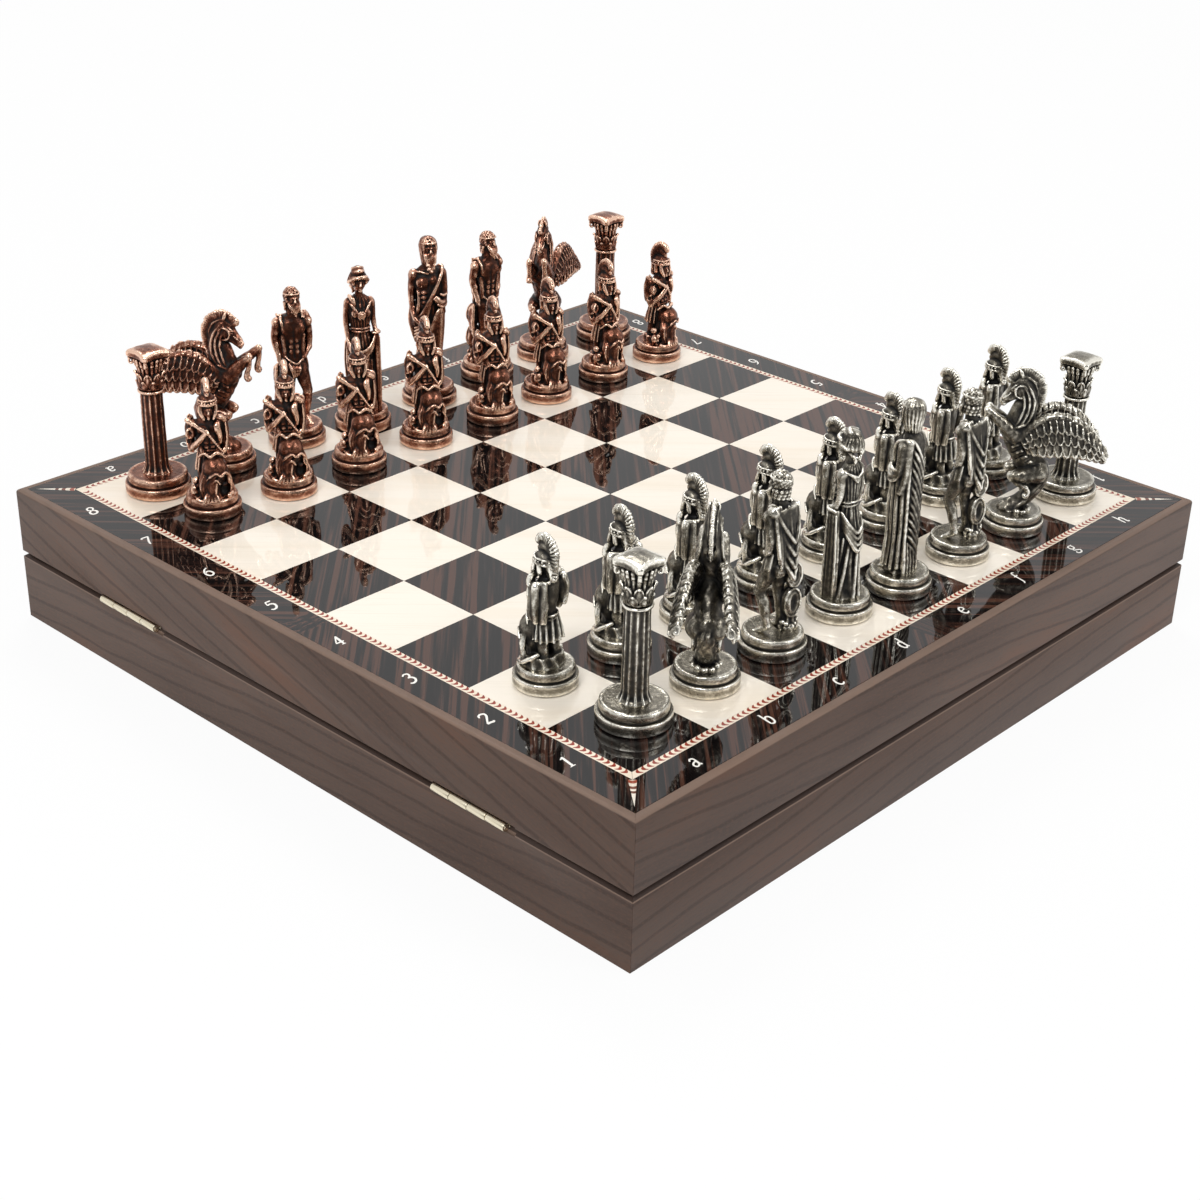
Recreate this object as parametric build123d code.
# Chess set with storage: a folding board box, its hinges and tray, and 32 cast chessmen.
# Millimetres. +X runs from file a to file h, +Y from rank 1 to rank 8, +Z is up.
# The origin is the centre of the underside of the box.
import os
from math import cos, sin, pi, radians, sqrt
from build123d import *

# Box
box_side = 370.0
base_height = 31.4
lid_height = 31.4
wall_thickness = 12.0
seam_bevel_depth = 2.0
seam_bevel_height = 1.4
rim_width = 3.6
rim_round = 1.7
bottom_thickness = 4.0
bottom_rebate = 6.0
board_thickness = 5.0
lining_thickness = 1.5
lining_clearance = 0.5

# Playing surface, veneers let in level with the rim
veneer_thickness = 1.0
square_side = 40.8
banding_width = 3.4
veneer_seam = 0.1
dart_length = 16.8
dart_width = 3.2

# Tray
tray_floor_thickness = 2.0
tray_clearance = 0.4
tray_rib_top = 28.0
slot_rib_width = 5.0
cross_rib_width = 5.0
edge_rib_width = 6.0
slots_across = 8
piece_slot_length = 92.0

# Hinges
hinge_length = 38.5
hinge_centre = 104.5
hinge_knuckles = 4
hinge_axis_proud = 0.2
knuckle_radius = 1.6
knuckle_gap = 0.3
pin_radius = 0.75
pin_clearance = 0.3
channel_clearance = 0.5
channel_run_out = 4.0
leaf_thickness = 0.8
leaf_width = 9.0
leaf_seam = 0.05
leaf_pocket_clearance = 0.4
screw_spacing = 24.0
screw_head_radius = 1.8
screw_head_height = 0.6
screw_shank_radius = 0.9
screw_hole_radius = 1.2
screw_length = 8.0
screw_hole_run_out = 1.0

# Magnets in the side away from the hinges
magnet_radius = 4.0
magnet_thickness = 2.0
magnet_pocket_clearance = 0.3
magnet_set_back = 0.2
magnet_spacing = 120.0

# Chessmen
felt_thickness = 0.8
felt_inset = 1.4
pedestal_height = 9.0
rook_radius = 14.3
rook_height = 66.6
pawn_radius = 12.4
pawn_height = 61.0
piece_radius = 13.3
king_height = 83.0
queen_height = 79.0
bishop_height = 75.5
knight_height = 73.5
shaft_radius = 5.3
shaft_flutes = 12
flute_radius = 0.95

# Values that follow from the ones above
top = base_height + lid_height
half = box_side / 2
inside = half - wall_thickness
field = 4 * square_side
banding_outer = field + banding_width
border_outer = half - rim_width
board_under = top - veneer_thickness - board_thickness
hinge_x = -half - hinge_axis_proud
seam_z = base_height
tray_floor_top = bottom_thickness + tray_floor_thickness

made = {}


def keep(name, shape):
    """Store one node under its name."""
    made[name] = shape


def prism(points, low, high):
    """Upright prism over an outline of x, y points."""
    outline = Polyline(*points, close=True)
    face = make_face(outline)
    return Pos(0, 0, low) * extrude(face, amount=high - low)


def block(low, high):
    """Box between two opposite corners."""
    size = [high[i] - low[i] for i in range(3)]
    middle = [(high[i] + low[i]) / 2 for i in range(3)]
    return Pos(*middle) * Box(*size)


def disc(radius, low, high, x=0, y=0):
    """Upright cylinder between two heights."""
    return Pos(x, y, (low + high) / 2) * Cylinder(radius, high - low)


def group(solids):
    """Several separate solids of one node."""
    return Compound(children=[item for solid in solids for item in solid.solids()])


# Box walls
def wall(profile, turns):
    """One wall: a y, z outline run along X, mitred at both ends and turned into place."""
    face = make_face(Polyline(*profile, close=True))
    length = extrude(Plane.YZ.offset(-half) * face, amount=box_side)
    mitre = prism([(-half, -half), (half, -half), (0, 0)], -1, top + 1)
    return Rot(0, 0, 90 * turns) * (length & mitre)


def base_profile():
    """Outline of a base wall, with the seam bevel and the rebate for the bottom."""
    return [
        (-half, 0),
        (-half, base_height - seam_bevel_height),
        (-half + seam_bevel_depth, base_height),
        (-inside, base_height),
        (-inside, bottom_thickness),
        (-inside - bottom_rebate, bottom_thickness),
        (-inside - bottom_rebate, 0),
    ]


def lid_profile():
    """Outline of a lid wall, with the seam bevel, the rounded rim and the board rebate."""
    steps = 6
    arc = []
    for step in range(steps + 1):
        angle = pi / 2 * step / steps
        y = -half + rim_round * (1 - cos(angle))
        z = top - rim_round * (1 - sin(angle))
        arc.append((y, z))
    return [
        (-half, base_height + seam_bevel_height),
        *arc,
        (-border_outer, top),
        (-border_outer, board_under),
        (-inside, board_under),
        (-inside, base_height),
        (-half + seam_bevel_depth, base_height),
    ]


def hinge_channel():
    """Round channels for the knuckles and flat pockets for the leaves of both hinges."""
    cuts = []
    for sign in (-1, 1):
        centre = sign * hinge_centre
        length = hinge_length + channel_run_out + channel_clearance
        middle = centre - channel_run_out / 2
        barrel = Pos(hinge_x, middle, seam_z) * Rot(90, 0, 0)
        cuts.append(barrel * Cylinder(knuckle_radius + channel_clearance, length))
        reach = hinge_x + leaf_width + leaf_pocket_clearance
        depth = leaf_thickness + leaf_seam
        width = hinge_length / 2 + leaf_pocket_clearance
        cuts.append(
            block(
                (-half, centre - width, seam_z - depth),
                (reach + knuckle_radius, centre + width, seam_z + depth),
            )
        )
    return cuts


def screw_places():
    """x, y of the screws of both hinges."""
    x = hinge_x + knuckle_radius + leaf_width * 0.5
    places = []
    for sign in (-1, 1):
        for side in (-1, 1):
            places.append((x, sign * hinge_centre + side * screw_spacing / 2))
    return places


def magnet_places():
    """x, y of the magnets."""
    x = half - wall_thickness / 2
    return [(x, -magnet_spacing / 2), (x, magnet_spacing / 2)]


def build_walls():
    names = ["front", "right", "rear", "left"]
    channel = hinge_channel()
    pocket = magnet_radius + magnet_pocket_clearance
    depth = magnet_thickness + magnet_set_back
    hole_depth = screw_length + screw_hole_run_out
    for turn, name in enumerate(names):
        lower = wall(base_profile(), turn)
        upper = wall(lid_profile(), turn)
        if name == "left":
            lower = lower - channel
            upper = upper - channel
            for x, y in screw_places():
                lower = lower - disc(screw_hole_radius, seam_z - hole_depth, seam_z, x, y)
                upper = upper - disc(screw_hole_radius, seam_z, seam_z + hole_depth, x, y)
        if name == "right":
            for x, y in magnet_places():
                lower = lower - disc(pocket, seam_z - depth, seam_z, x, y)
                upper = upper - disc(pocket, seam_z, seam_z + depth, x, y)
        keep("base_" + name + "_wall", lower)
        keep("lid_" + name + "_wall", upper)


# Bottom, tray and lining
def build_inside():
    panel = inside + bottom_rebate
    keep("base_bottom_panel", block((-panel, -panel, 0), (panel, panel, bottom_thickness)))
    tray = inside - tray_clearance
    keep(
        "tray_floor",
        block((-tray, -tray, bottom_thickness), (tray, tray, tray_floor_top)),
    )
    cross = []
    row_edges = tray_rows()
    for low, high in row_edges["ribs"]:
        cross.append(block((-tray, low, tray_floor_top), (tray, high, tray_rib_top)))
    keep("tray_cross_ribs", group(cross))
    pitch = 2 * tray / slots_across
    ribs = []
    for low, high in row_edges["rows"]:
        for number in range(slots_across + 1):
            x = -tray + pitch * number
            left = max(-tray, x - slot_rib_width / 2)
            right = min(tray, x + slot_rib_width / 2)
            ribs.append(block((left, low, tray_floor_top), (right, high, tray_rib_top)))
    keep("tray_slot_ribs", group(ribs))
    lining = inside - lining_clearance
    keep(
        "lid_lining",
        block((-lining, -lining, board_under - lining_thickness), (lining, lining, board_under)),
    )


def tray_rows():
    """The three rows of slots along Y and the ribs between them."""
    tray = inside - tray_clearance
    first = -tray + edge_rib_width
    second = first + piece_slot_length
    third = second + cross_rib_width
    rows = [(first, second), (third, -third), (-second, -first)]
    ribs = [(-tray, first), (second, third), (-third, -second), (-first, tray)]
    return {"rows": rows, "ribs": ribs}


# Board
def build_board():
    edge = border_outer
    low = top - veneer_thickness
    keep("lid_board_panel", block((-edge, -edge, board_under), (edge, edge, low)))
    dark = []
    light = []
    gap = veneer_seam / 2
    for i in range(8):
        for j in range(8):
            x = (i - 4) * square_side
            y = (j - 4) * square_side
            tile = block(
                (x + gap, y + gap, low),
                (x + square_side - gap, y + square_side - gap, top),
            )
            (dark if (i + j) % 2 == 0 else light).append(tile)
    keep("dark_squares", group(dark))
    keep("light_squares", group(light))
    darts = []
    cutters = []
    for turn in range(4):
        darts.append(dart(turn, 0))
        cutters.append(dart(turn, veneer_seam))
    keep("corner_darts", group(darts))
    border = []
    banding = []
    for turn in range(4):
        border.append(strip(banding_outer, border_outer, turn) - cutters)
        banding.append(strip(field, banding_outer, turn))
    keep("border_veneer", group(border))
    keep("inlay_banding", group(banding))


def strip(inner, outer, turn):
    """One mitred strip of veneer between two squares, drawn on the front side."""
    gap = veneer_seam / 2
    a = inner + gap
    b = outer - gap
    points = [(-b + gap * 2, -b), (b - gap * 2, -b), (a - gap * 2, -a), (-a + gap * 2, -a)]
    return Rot(0, 0, 90 * turn) * prism(points, top - veneer_thickness, top)


def dart(turn, grow):
    """Tapered dart that runs outwards along a mitre of the border."""
    start = banding_outer * sqrt(2) + veneer_seam * 1.5 - grow
    width = dart_width / 2 + grow
    points = [(start, -width), (start + dart_length + 4 * grow, 0), (start, width)]
    return Rot(0, 0, 45 + 90 * turn) * prism(points, top - veneer_thickness, top)


# Hinges
def knuckle_spans(own):
    """y spans, about the hinge centre, of every second knuckle."""
    step = hinge_length / hinge_knuckles
    spans = []
    for number in range(hinge_knuckles):
        if number % 2 == own:
            low = -hinge_length / 2 + step * number + knuckle_gap / 2
            spans.append((low, low + step - knuckle_gap))
    return spans


def hinge_leaf(centre, own, up, bore):
    """One leaf: a plate in the seam with its knuckles, the screw holes countersunk."""
    side = 1 if up else -1
    low = leaf_seam * side
    high = (leaf_seam + leaf_thickness) * side
    z0 = seam_z + min(low, high)
    z1 = seam_z + max(low, high)
    front = hinge_x + knuckle_radius + knuckle_gap
    back = hinge_x + knuckle_radius + leaf_width
    reach = hinge_length / 2
    leaf = block((front, centre - reach, z0), (back, centre + reach, z1))
    for a, b in knuckle_spans(own):
        tab = block((hinge_x, centre + a, z0), (front + 0.5, centre + b, z1))
        tube = Pos(hinge_x, centre + (a + b) / 2, seam_z) * Rot(90, 0, 0)
        leaf = leaf + tab + tube * Cylinder(knuckle_radius, b - a)
    hole = Pos(hinge_x, centre, seam_z) * Rot(90, 0, 0) * Cylinder(bore, hinge_length + 2)
    leaf = leaf - hole
    for x, y in screw_places():
        if abs(y - centre) < hinge_length:
            leaf = leaf - screw_seat(x, y, side)
    return leaf


def screw_seat(x, y, side):
    """Through hole and countersink of one screw, from the seam side."""
    face = seam_z + leaf_seam * side
    through = disc(screw_hole_radius, seam_z - 3, seam_z + 3, x, y)
    slope = (screw_head_radius - screw_shank_radius) / screw_head_height
    depth = (screw_head_radius - screw_hole_radius) / slope
    cone = Cone(screw_hole_radius, screw_head_radius, depth)
    turn = Rot(180, 0, 0) if side > 0 else Rot(0, 0, 0)
    return through + Pos(x, y, face + side * depth / 2) * turn * cone


def screw(x, y, side):
    """Countersunk screw driven away from the seam."""
    face = leaf_seam
    head = Pos(0, 0, -screw_head_height / 2) * Cone(
        screw_shank_radius, screw_head_radius, screw_head_height
    )
    shank = disc(screw_shank_radius, -screw_length + 1.2, -screw_head_height)
    tip = Pos(0, 0, -screw_length + 0.6) * Cone(0.2, screw_shank_radius, 1.2)
    whole = head + shank + tip
    turn = Rot(180, 0, 0) if side > 0 else Rot(0, 0, 0)
    return Pos(x, y, seam_z + side * face) * turn * whole


def build_hinges():
    base_leaves = []
    lid_leaves = []
    pins = []
    for sign in (-1, 1):
        centre = sign * hinge_centre
        base_leaves.append(hinge_leaf(centre, 0, False, pin_radius))
        lid_leaves.append(hinge_leaf(centre, 1, True, pin_radius + pin_clearance))
        pin = Cylinder(pin_radius, hinge_length)
        pins.append(Pos(hinge_x, centre, seam_z) * Rot(90, 0, 0) * pin)
    keep("hinge_base_leaves", group(base_leaves))
    keep("hinge_lid_leaves", group(lid_leaves))
    keep("hinge_pins", group(pins))
    keep("hinge_base_screws", group([screw(x, y, -1) for x, y in screw_places()]))
    keep("hinge_lid_screws", group([screw(x, y, 1) for x, y in screw_places()]))
    lower = []
    upper = []
    near = magnet_set_back
    far = magnet_set_back + magnet_thickness
    for x, y in magnet_places():
        lower.append(disc(magnet_radius, seam_z - far, seam_z - near, x, y))
        upper.append(disc(magnet_radius, seam_z + near, seam_z + far, x, y))
    keep("base_magnets", group(lower))
    keep("lid_magnets", group(upper))


# Parts of the cast figures
def pedestal(radius):
    """Round foot: a rounded band, a groove and a domed drum."""
    z = felt_thickness
    profile = [
        (0, z),
        (radius - 0.6, z),
        (radius, z + 0.8),
        (radius, z + 2.5),
        (radius - 0.7, z + 3.4),
        (radius - 1.8, z + 3.6),
        (radius - 1.8, z + 4.3),
        (radius - 1.2, z + 4.7),
        (radius - 1.2, z + 5.8),
        (radius - 1.9, z + 7.4),
        (radius - 3.0, pedestal_height),
        (0, pedestal_height),
    ]
    face = make_face(Polyline(*profile, close=True))
    return revolve(Plane.XZ * face, axis=Axis.Z)


def limb(points, radii):
    """Arm or leg: a cone along each stretch and a ball at each joint."""
    shapes = []
    for number, point in enumerate(points):
        shapes.append(Pos(*point) * Sphere(radii[number] * 1.04))
    for number in range(len(points) - 1):
        start = Vector(*points[number])
        end = Vector(*points[number + 1])
        along = end - start
        plane = Plane(origin=start + along * 0.5, z_dir=along)
        r0 = radii[number]
        r1 = radii[number + 1]
        if abs(r0 - r1) < 0.01:
            shapes.append(plane * Cylinder(r0, along.length))
        else:
            shapes.append(plane * Cone(r0, r1, along.length))
    return shapes


def trunk(rings):
    """Body or robe: straight skins through level ovals given as x, y, z, half width, half depth."""
    sections = [Pos(x, y, z) * Ellipse(a, b) for x, y, z, a, b in rings]
    return loft(sections, ruled=True)


def egg(x, y, z, radius, half_tall):
    """Upright egg: half an oval turned about its own axis."""
    oval = Ellipse(radius, half_tall) & Pos(radius, 0) * Rectangle(2 * radius, 4 * half_tall)
    return Pos(x, y, z) * revolve(Plane.XZ * oval, axis=Axis.Z)


def cast(radius, shapes):
    """Join a figure to its foot as one casting and add the felt disc."""
    body = pedestal(radius)
    flat = []
    for shape in shapes:
        if isinstance(shape, list):
            flat.extend(shape)
        else:
            flat.append(shape)
    body = body + flat
    felt = disc(radius - felt_inset, 0, felt_thickness)
    solids = sorted(body.solids(), key=lambda item: -item.volume)
    assert len(solids) == 1, len(solids)
    return [solids[0], felt]


# Figures, each facing -Y with its own right hand at -X
def rook():
    """Fluted column with a leafy capital and a square slab with hollow sides."""
    ground = pedestal_height
    ring = 46.8
    slab = 61.2
    slab_half = 7.2
    circle = Circle(shaft_radius)
    for number in range(shaft_flutes):
        angle = 360 / shaft_flutes * number
        circle = circle - Rot(0, 0, angle) * Pos(shaft_radius + 0.35, 0) * Circle(flute_radius)
    shapes = [Pos(0, 0, ground + 1.5) * extrude(circle, amount=ring - ground - 1.5)]
    shapes.append(Pos(0, 0, ground + 1.2) * Cone(shaft_radius + 1.4, shaft_radius + 0.1, 2.6))
    shapes.append(disc(shaft_radius + 0.5, ring - 0.5, ring + 0.6))
    bell = 4.7
    shapes.append(Pos(0, 0, (ring + slab) / 2) * Cone(bell, bell + 1.6, slab - ring + 0.6))
    for number in range(8):
        lower = Rot(0, 0, 45 * number)
        upper = Rot(0, 0, 45 * number + 22.5)
        shapes.append(lower * Pos(5.4, 0, ring + 2.6) * Rot(0, 14, 0) * Cylinder(1.15, 4.6))
        shapes.append(lower * Pos(6.3, 0, ring + 4.8) * Sphere(1.25))
        shapes.append(upper * Pos(6.0, 0, ring + 6.4) * Rot(0, 12, 0) * Cylinder(1.1, 6.0))
        shapes.append(upper * Pos(7.0, 0, ring + 9.3) * Sphere(1.25))
    for number in range(4):
        corner = Rot(0, 0, 45 + 90 * number)
        shapes.append(corner * Pos(7.9, 0, slab - 1.3) * Rot(90, 0, 0) * Cylinder(1.6, 2.4))
    plate = Rectangle(2 * slab_half, 2 * slab_half)
    for number in range(4):
        hollow = 16.0
        away = slab_half - 0.9 + hollow
        plate = plate - Rot(0, 0, 90 * number) * Pos(away, 0) * Circle(hollow)
    shapes.append(Pos(0, 0, slab) * extrude(plate, amount=2.7))
    dome_low = slab + 2.6
    dome = loft(
        [
            Pos(0, 0, dome_low) * Rectangle(11.6, 11.6),
            Pos(0, 0, dome_low + 1.6) * Rectangle(9.0, 9.0),
            Pos(0, 0, rook_height) * Rectangle(4.0, 4.0),
        ],
        ruled=True,
    )
    shapes.append(dome)
    return cast(rook_radius, shapes)


def crest(outer, inner, thickness, start, end, y, z):
    """Upright comb: part of a flat ring about y, z, angles from the front (-Y) upwards."""
    points = []
    steps = 10
    for radius, order in ((outer, range(steps + 1)), (inner, range(steps, -1, -1))):
        for step in order:
            angle = radians(start + (end - start) * step / steps)
            points.append((-radius * cos(angle), radius * sin(angle)))
    face = make_face(Polyline(*points, close=True))
    return Pos(0, y, z) * extrude(Plane.YZ * face, amount=thickness / 2, both=True)


def knight():
    """Rearing winged horse with a tall comb of a mane."""
    shapes = []
    shapes.append(
        limb(
            [(0, 3.5, 22), (0, 0.5, 32), (0, -4.0, 41)],
            [6.2, 5.2, 5.6],
        )
    )
    neck = [(0, -4.5, 45.5), (0, -2.4, 54), (0, -3.2, 61)]
    shapes.append(limb(neck, [4.7, 3.2, 3.0]))
    shapes.append(limb([(0, -4.6, 65.2), (0, -12.0, 59.4)], [3.4, 1.9]))
    shapes.append(crest(knight_height - 61.6, 4.4, 2.0, 52, 236, -4.0, 61.6))
    for side in (-1, 1):
        ear = [(side * 1.8, -2.0, 67.5), (side * 2.1, -2.4, 70.0)]
        shapes.append(limb(ear, [1.1, 0.5]))
        hind = [
            (side * 4.0, 3.5, 21),
            (side * 5.4, -2.2, 15.5),
            (side * 5.0, 1.8, 11.5),
            (side * 5.2, -1.8, 9.6),
        ]
        shapes.append(limb(hind, [4.6, 3.0, 1.9, 1.8]))
        reach = -18.0 if side > 0 else -15.5
        fore = [
            (side * 3.4, -6.0, 43),
            (side * 4.2, reach, 52.5),
            (side * 4.4, reach - 1.2, 46.0),
        ]
        shapes.append(limb(fore, [3.0, 1.7, 1.6]))
        shapes.append(wing(side))
    tail = [(0, 8.2, 23), (0, 10.4, 17), (0, 9.0, 11)]
    shapes.append(limb(tail, [2.0, 2.7, 2.2]))
    return cast(piece_radius, shapes)


def wing(side):
    """Wing swept back from the shoulder, splayed outwards: a thick plate with a drooping tip."""
    outline = [
        (-3.0, 38.0),
        (-2.0, 46.0),
        (3.0, 52.5),
        (9.0, 55.6),
        (17.0, 54.6),
        (24.0, 50.8),
        (29.0, 44.5),
        (31.5, 36.5),
        (24.0, 36.4),
        (14.0, 35.2),
        (6.0, 34.4),
    ]
    face = make_face(Polyline(*outline, close=True))
    plate = extrude(Plane.YZ * face, amount=1.1, both=True)
    return Pos(side * 4.4, 0, 0) * Rot(0, 0, -side * 12) * plate


def bishop():
    """Bearded strong man with a hand at his hip, a hanging cape and a stump beside him."""
    shapes = []
    shapes.append(
        trunk(
            [
                (0, 0, 35.5, 4.6, 3.4),
                (0, 0, 41, 5.2, 3.9),
                (0.3, 0, 47, 4.4, 3.3),
                (0, -0.2, 54, 6.6, 4.3),
                (0, 0, 59.5, 7.2, 3.2),
                (0, 0, 62.0, 3.4, 2.2),
            ]
        )
    )
    right_leg = [(-2.6, 0, 38), (-3.2, -0.8, 25), (-3.4, 0.8, 12), (-3.6, -3.0, 10)]
    left_leg = [(2.7, 0, 38), (4.4, -3.2, 26), (4.6, 1.4, 13), (5.0, -2.0, 10)]
    shapes.append(limb(right_leg, [3.4, 2.5, 1.7, 1.4]))
    shapes.append(limb(left_leg, [3.4, 2.5, 1.7, 1.4]))
    right_arm = [(-7.4, 0, 59), (-8.8, 0.8, 50.5), (-7.8, -1.4, 43.0)]
    left_arm = [(7.4, 0, 59), (9.6, 1.4, 50.0), (6.4, -1.6, 43.5)]
    shapes.append(limb(right_arm, [2.5, 1.9, 1.6]))
    shapes.append(limb(left_arm, [2.5, 1.9, 1.6]))
    shapes.append(limb([(0, 0, 61), (0, -0.6, 66)], [2.5, 2.3]))
    shapes.append(egg(0, -0.7, 69.8, 3.85, bishop_height - 69.8))
    shapes.append(limb([(0, -3.2, 67.6), (0, -3.6, 64.0)], [2.3, 1.4]))
    cape = [
        (0, 3.6, 16.0, 5.0, 2.0),
        (0, 4.4, 26.0, 6.8, 2.4),
        (0, 4.4, 42.0, 7.4, 2.4),
        (0, 2.8, 59.0, 7.0, 2.2),
    ]
    shapes.append(trunk(cape))
    stump = [(-6.6, 2.0, 8.5, 3.4, 3.4), (-6.8, 1.4, 24, 2.6, 2.8), (-7.6, -0.4, 41, 2.2, 2.4)]
    shapes.append(trunk(stump))
    return cast(piece_radius, shapes)


def queen():
    """Robed woman with a brimmed hat and one hand on a tall shield."""
    shapes = []
    shapes.append(
        trunk(
            [
                (0, 0.4, 8.5, 7.4, 6.2),
                (0, 0.2, 20, 5.8, 5.0),
                (0, 0, 34, 6.0, 4.8),
                (0, 0, 43, 5.8, 4.6),
                (0, 0, 49, 4.2, 3.4),
                (0, -0.2, 55, 5.4, 4.0),
                (0, 0, 60.5, 6.2, 3.0),
                (0, 0, 63.0, 2.6, 2.0),
            ]
        )
    )
    shapes.append(limb([(0, 0, 62), (0, -0.4, 67)], [1.9, 1.8]))
    shapes.append(egg(0, -0.6, 70.6, 3.5, 4.3))
    shapes.append(egg(0, 0.4, 74.2, 4.0, queen_height - 74.2))
    brim = Pos(0, -0.4, 73.6) * Rot(8, 0, 0) * Cone(5.4, 4.2, 1.4)
    shapes.append(brim)
    shapes.append(egg(0, 4.4, 70.5, 2.2, 2.6))
    right_arm = [(-6.4, 0, 59.0), (-8.4, 0.8, 50.5), (-7.4, -2.4, 43.5)]
    left_arm = [(6.4, 0, 59.0), (8.8, 0.6, 50.5), (8.8, -1.0, 43.0)]
    shapes.append(limb(right_arm, [2.1, 1.6, 1.4]))
    shapes.append(limb(left_arm, [2.1, 1.6, 1.4]))
    drape = [(-5.6, 0.2, 20, 1.6, 3.2), (-6.6, 0, 32, 2.0, 3.8), (-6.8, -0.6, 44, 1.8, 2.8)]
    shapes.append(trunk(drape))
    shield = [(8.0, 0.6, 8.5, 1.7, 4.0), (8.4, 0.3, 24, 1.6, 4.2), (8.6, -0.2, 41.5, 1.3, 3.2)]
    shapes.append(trunk(shield))
    return cast(piece_radius, shapes)


def king():
    """Long-bearded man in a cloak, one forearm folded at the chest."""
    shapes = []
    shapes.append(
        trunk(
            [
                (0, 0.4, 8.5, 6.6, 5.6),
                (0, 0.2, 22, 5.2, 4.6),
                (0, 0, 34, 5.6, 4.8),
                (0, 0, 46, 7.0, 5.0),
                (0, -0.2, 57, 7.0, 4.8),
                (0, 0, 65, 8.0, 3.6),
                (0, 0, 68.2, 3.4, 2.4),
            ]
        )
    )
    shapes.append(limb([(0, 0, 67), (0, -0.8, 73)], [2.4, 2.3]))
    shapes.append(egg(0, -0.8, 77.0, 4.05, king_height - 77.0))
    shapes.append(limb([(0, -3.8, 74.6), (0, -4.4, 68.4)], [2.6, 1.3]))
    shapes.append(egg(0, 1.4, 73.2, 3.7, 4.6))
    right_arm = [(-7.8, 0, 64), (-9.6, 0.6, 55), (-8.8, -1.8, 47)]
    left_arm = [(7.8, 0, 64), (9.8, -0.6, 55.5), (4.6, -5.6, 57.5)]
    shapes.append(limb(right_arm, [2.7, 2.1, 1.6]))
    shapes.append(limb(left_arm, [2.7, 2.1, 1.7]))
    fall = [(-7.0, 0.6, 34, 1.4, 3.0), (-8.0, 0.6, 44, 2.2, 4.0), (-8.0, 0.8, 60, 1.8, 3.6)]
    shapes.append(trunk(fall))
    hang = [(6.4, 0.8, 30, 1.4, 2.6), (7.4, 0.4, 42, 2.0, 3.6), (8.0, 0.4, 58, 2.0, 3.6)]
    shapes.append(trunk(hang))
    return cast(piece_radius, shapes)


def pawn():
    """Helmeted warrior with a round shield and slung sword, a lion seated at his feet."""
    shapes = []
    shapes.append(
        trunk(
            [
                (0, 1.2, 8.5, 5.4, 4.2),
                (0, 1.0, 18, 5.0, 4.2),
                (0, 0.6, 24, 5.4, 4.4),
                (0, 0.2, 30.5, 3.9, 3.2),
                (0, 0, 37.5, 5.6, 3.8),
                (0, 0.2, 42.5, 6.0, 3.0),
                (0, 0.2, 44.8, 2.4, 1.9),
            ]
        )
    )
    shapes.append(limb([(0, 0.2, 44), (0, -0.4, 48)], [2.0, 1.9]))
    shapes.append(egg(0, -0.5, 50.4, 3.35, 3.9))
    shapes.append(egg(0, -0.2, 53.0, 3.85, 3.4))
    shapes.append(disc(4.0, 51.8, 52.9, 0, -0.4))
    shapes.append(crest(pawn_height - 50.6, 3.0, 2.2, 40, 205, 1.2, 50.6))
    right_arm = [(-6.2, 0.2, 41.6), (-7.8, 0.6, 34.6), (-3.4, -4.6, 38.4)]
    left_arm = [(6.2, 0.2, 41.6), (7.8, 1.0, 35.0), (5.2, -2.8, 33.0)]
    shapes.append(limb(right_arm, [2.2, 1.8, 1.4]))
    shapes.append(limb(left_arm, [2.2, 1.8, 1.4]))
    shapes.append(limb([(-6.4, -3.4, 43.4), (3.6, -4.2, 33.8)], [0.8, 0.8]))
    facing = Plane(origin=(-6.4, -2.6, 36.6), z_dir=(-0.75, -0.62, 0.05))
    shapes.append(facing * Cylinder(4.5, 1.8))
    shapes.append(facing * Pos(0, 0, 0.4) * Sphere(2.0))
    cape = [(-2.8, 3.6, 20, 3.2, 1.6), (-3.4, 3.8, 32, 3.8, 1.8), (-2.6, 2.8, 42.5, 3.8, 1.6)]
    shapes.append(trunk(cape))
    lion = [(0.2, -4.6, 8.5, 5.6, 4.0), (0.2, -5.4, 15, 4.8, 3.8), (0.4, -6.2, 21, 3.6, 3.2)]
    shapes.append(trunk(lion))
    shapes.append(Pos(0.6, -6.6, 22.8) * Sphere(3.5))
    shapes.append(limb([(0.8, -8.6, 22.4), (1.2, -10.2, 20.8)], [2.0, 1.4]))
    for side in (-1, 1):
        paw = [(side * 2.0, -7.0, 18), (side * 2.2, -8.2, 10.4)]
        shapes.append(limb(paw, [1.8, 1.4]))
        shapes.append(Pos(side * 4.6, -2.4, 12.2) * Sphere(3.2))
    return cast(pawn_radius, shapes)


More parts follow.
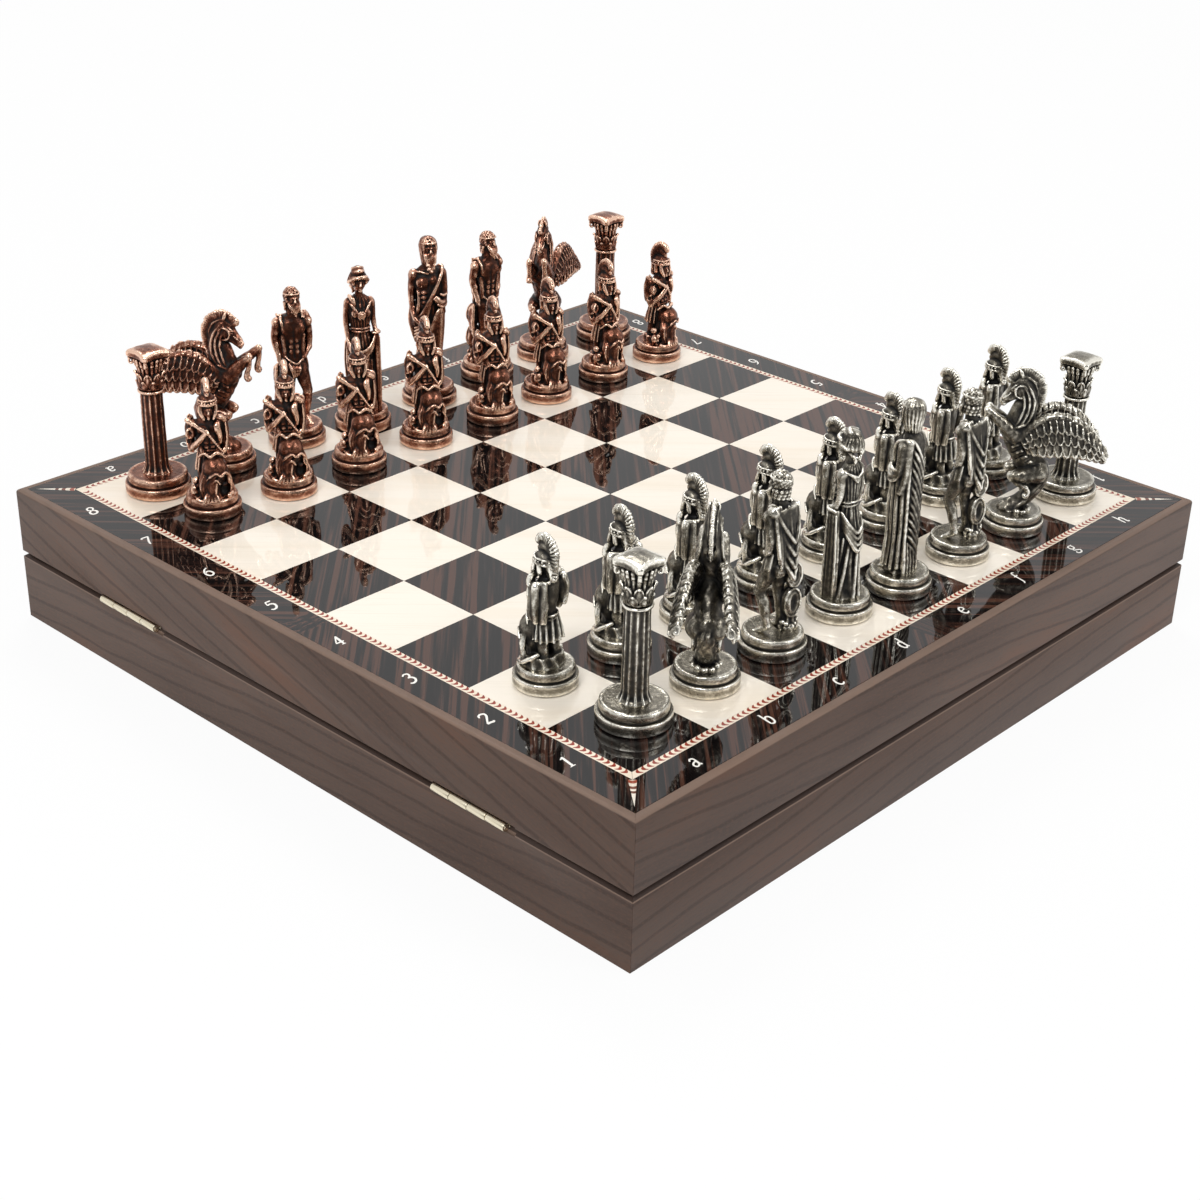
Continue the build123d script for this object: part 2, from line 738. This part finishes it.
# Where each man stands: shift from its square's centre along X and Y, and turn about Z
silver_pieces = {
    "rook_a1": (rook, 6.0, 3.0, 0),
    "knight_b1": (knight, 3.5, 2.3, 137),
    "bishop_c1": (bishop, 1.5, 2.0, 180),
    "queen_d1": (queen, 4.0, 3.0, 180),
    "king_e1": (king, -2.5, -1.0, 180),
    "bishop_f1": (bishop, 0.0, 0.0, 180),
    "knight_g1": (knight, -1.0, -1.0, 222),
    "rook_h1": (rook, 4.5, 2.0, 0),
}
copper_pieces = {
    "rook_a8": (rook, 2.5, -1.5, 0),
    "knight_b8": (knight, 0.0, 0.0, 35),
    "bishop_c8": (bishop, 0.0, 0.0, -28),
    "queen_d8": (queen, -6.5, -7.0, -30),
    "king_e8": (king, -3.0, -5.0, -34),
    "bishop_f8": (bishop, 0.0, 0.0, -8),
    "knight_g8": (knight, -0.5, 0.5, -58),
    "rook_h8": (rook, 3.0, -1.0, 0),
}
silver_pawns = [
    (2.5, 3.5, 180),
    (-0.9, 0.9, 176),
    (-0.6, 0.8, 180),
    (1.2, -1.2, 184),
    (2.0, -1.8, 180),
    (1.6, -1.6, 178),
    (1.6, -1.6, 180),
    (0.8, 0.6, 184),
]
copper_pawns = [
    (6.0, 5.0, -30),
    (2.0, -1.2, -34),
    (2.0, -1.0, -30),
    (2.0, -1.2, -26),
    (3.0, -2.4, -22),
    (0.8, -0.6, -16),
    (0.8, -0.6, -10),
    (0.6, -0.4, 4),
]


def stand(figure, file_number, rank_number, shift_x, shift_y, turn):
    """Set a figure on its square."""
    x = (file_number - 3.5) * square_side + shift_x
    y = (rank_number - 3.5) * square_side + shift_y
    place = Pos(x, y, top) * Rot(0, 0, turn)
    return group([place * solid for solid in figure])


def build_men():
    models = {kind: kind() for kind in (rook, knight, bishop, queen, king, pawn)}
    files = "abcdefgh"
    for colour, rank, pieces in (("silver", 0, silver_pieces), ("copper", 7, copper_pieces)):
        for name, (kind, shift_x, shift_y, turn) in pieces.items():
            column = files.index(name[-2])
            man = stand(models[kind], column, rank, shift_x, shift_y, turn)
            keep(colour + "_" + name, man)
    for colour, rank, pawns in (("silver", 1, silver_pawns), ("copper", 6, copper_pawns)):
        for column, (shift_x, shift_y, turn) in enumerate(pawns):
            man = stand(models[pawn], column, rank, shift_x, shift_y, turn)
            keep(colour + "_pawn_" + files[column] + str(rank + 1), man)


build_walls()
build_inside()
build_board()
build_hinges()
build_men()

os.makedirs("parts", exist_ok=True)
for name, shape in made.items():
    shape.label = name
    export_step(shape, "parts/" + name + ".step", write_pcurves=False)
print(len(made), "nodes")
